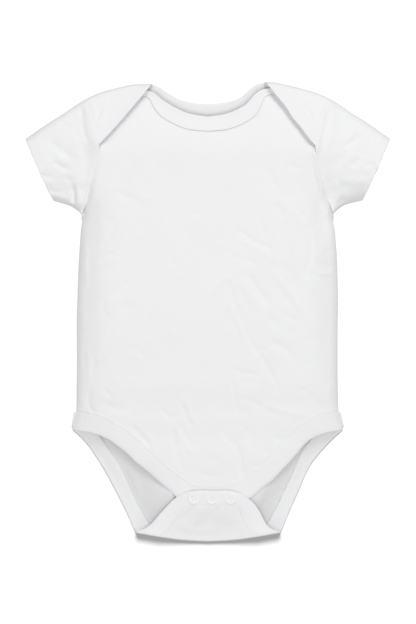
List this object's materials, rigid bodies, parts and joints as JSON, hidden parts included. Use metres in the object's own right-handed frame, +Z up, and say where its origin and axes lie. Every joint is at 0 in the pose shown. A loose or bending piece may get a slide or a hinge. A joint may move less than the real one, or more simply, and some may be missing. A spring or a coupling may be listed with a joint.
{
  "type": "short-sleeved baby bodysuit with lap shoulders and a snap crotch",
  "caption": "White short-sleeved baby bodysuit lying flat, with lap shoulders, ribbed neck and leg bindings and a snapped crotch flap.",
  "frame": {"origin": "centre of the garment's outline on the surface it lies on", "axes": "+Y towards the neck, +X towards the wearer's left, +Z up out of the front"},
  "size_m": [0.303, 0.381, 0.016],
  "materials": {
    "body_cloth": "soft matt white cotton knit",
    "rib_binding": "fine white cotton rib, folded double",
    "snap_enamel": "white satin enamel"
  },
  "bodies": {
    "root": {"front_panel": "body_cloth", "back_panel": "body_cloth", "sleeve_left": "body_cloth", "sleeve_right": "body_cloth", "front_neck_binding": "rib_binding", "back_neck_binding": "rib_binding", "front_leg_binding": "rib_binding", "back_leg_binding": "rib_binding", "snap_ring_1": "snap_enamel", "snap_ring_2": "snap_enamel", "snap_ring_3": "snap_enamel", "snap_socket_1": "snap_enamel", "snap_socket_2": "snap_enamel", "snap_socket_3": "snap_enamel", "snap_stud_1": "snap_enamel", "snap_stud_2": "snap_enamel", "snap_stud_3": "snap_enamel", "snap_post_ring_1": "snap_enamel", "snap_post_ring_2": "snap_enamel", "snap_post_ring_3": "snap_enamel"}
  },
  "joints": []
}
